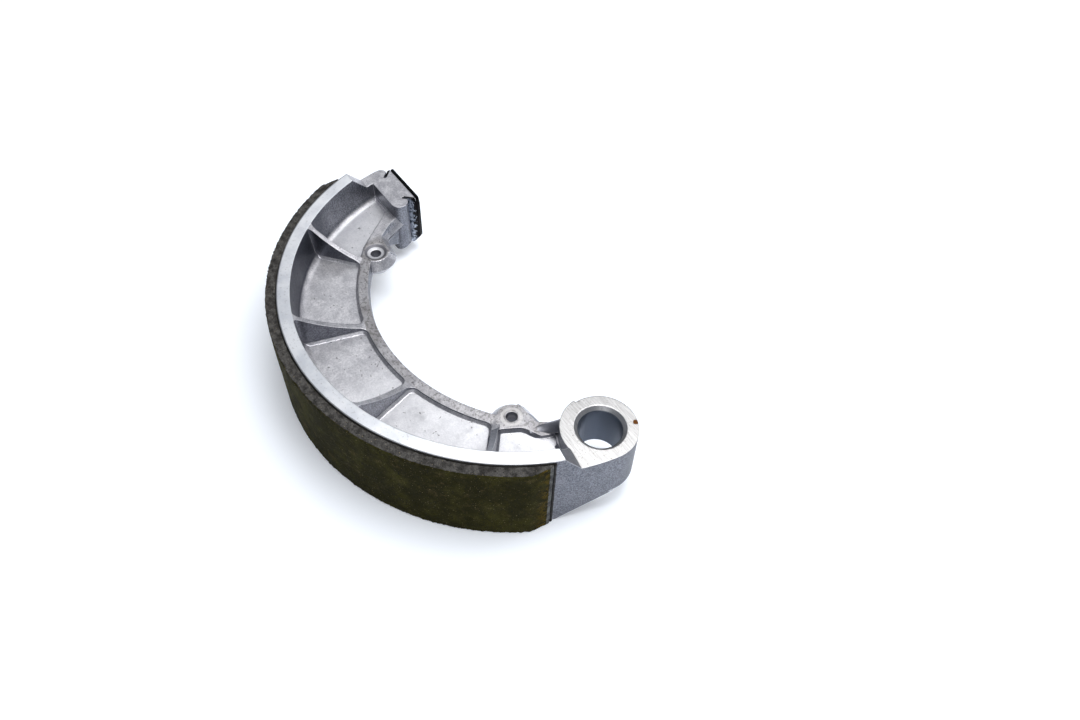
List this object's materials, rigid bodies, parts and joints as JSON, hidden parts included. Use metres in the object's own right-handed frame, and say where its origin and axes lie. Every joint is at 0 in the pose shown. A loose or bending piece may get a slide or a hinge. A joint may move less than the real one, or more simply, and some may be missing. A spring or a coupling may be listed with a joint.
{
  "type": "drum brake shoe",
  "caption": "Crescent drum brake shoe: ribbed aluminium casting with pivot eye and cam pad, a bonded curved friction lining and a folded steel slipper on the cam face.",
  "frame": {"origin": "centre of the pivot bore on the mid-plane of the web", "axes": "+X along the brake's centre line from the pivot towards the cam end, +Y towards the lining, +Z along the brake's axis, up on the side with the machined pad top"},
  "size_m": [0.1699, 0.0899, 0.0371],
  "materials": {
    "casting": "as die cast, with machined table edge, eye faces and pad top",
    "lining": "rough moulded friction compound",
    "adhesive": "dark cured adhesive",
    "slipper": "blackened hardened steel, brushed face"
  },
  "bodies": {
    "root": {"shoe_casting": "casting", "friction_lining": "lining", "bond_film": "adhesive", "cam_slipper": "slipper"}
  },
  "joints": []
}
